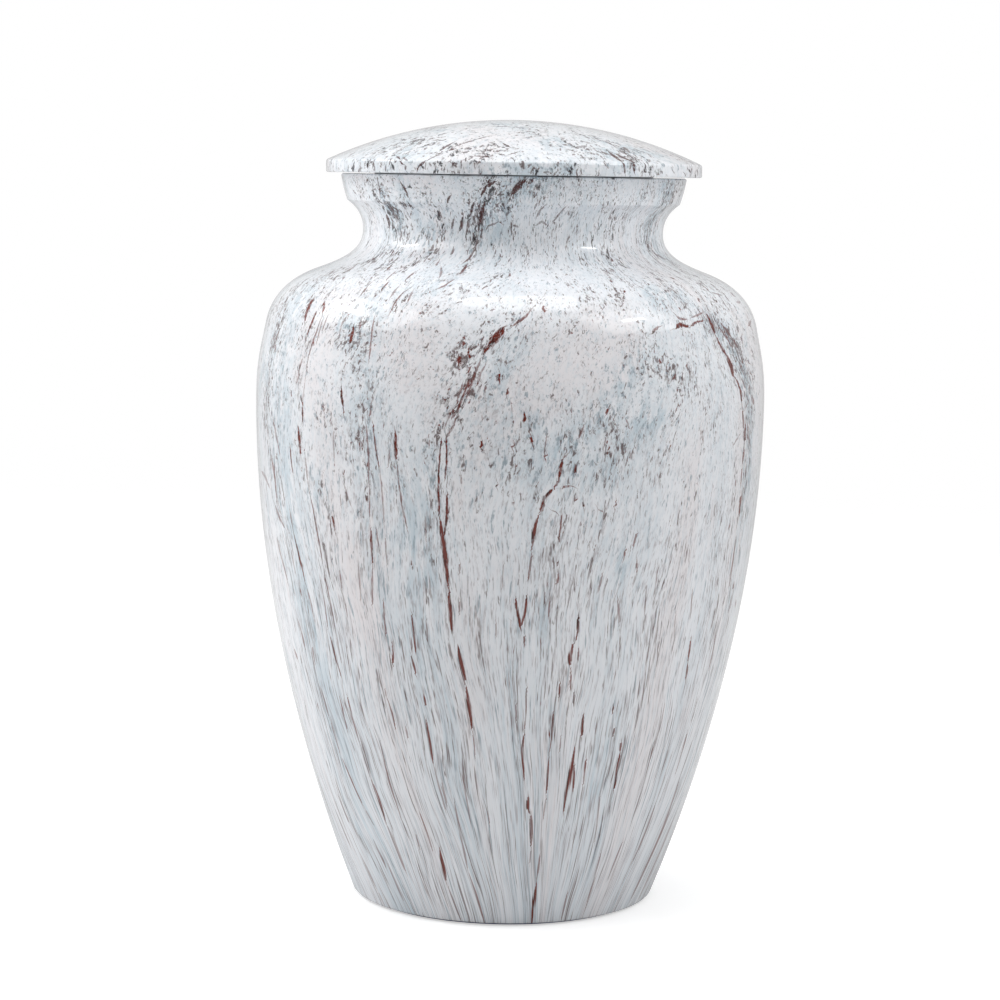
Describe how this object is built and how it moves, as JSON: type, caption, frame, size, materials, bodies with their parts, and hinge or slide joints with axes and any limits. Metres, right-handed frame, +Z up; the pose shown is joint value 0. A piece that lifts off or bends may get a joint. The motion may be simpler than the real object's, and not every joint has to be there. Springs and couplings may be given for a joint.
{
  "type": "cremation urn",
  "caption": "Hollow turned metal urn with a wide shoulder, a narrow neck and a flared collar, closed by a domed lid that lifts off, on a thin felt pad.",
  "frame": {"origin": "middle of the pad's underside, where the urn's axis meets what it stands on", "axes": "+Z up along the axis of turning; -Y is the side that the picture shows"},
  "size_m": [0.165, 0.165, 0.253],
  "materials": {
    "marbled_lacquer": "marble print in white, blue-grey and dark brown under clear gloss lacquer",
    "felt": "thin pressed navy felt"
  },
  "bodies": {
    "root": {"urn_body": "marbled_lacquer", "lid": "marbled_lacquer", "base_pad": "felt"}
  },
  "joints": []
}
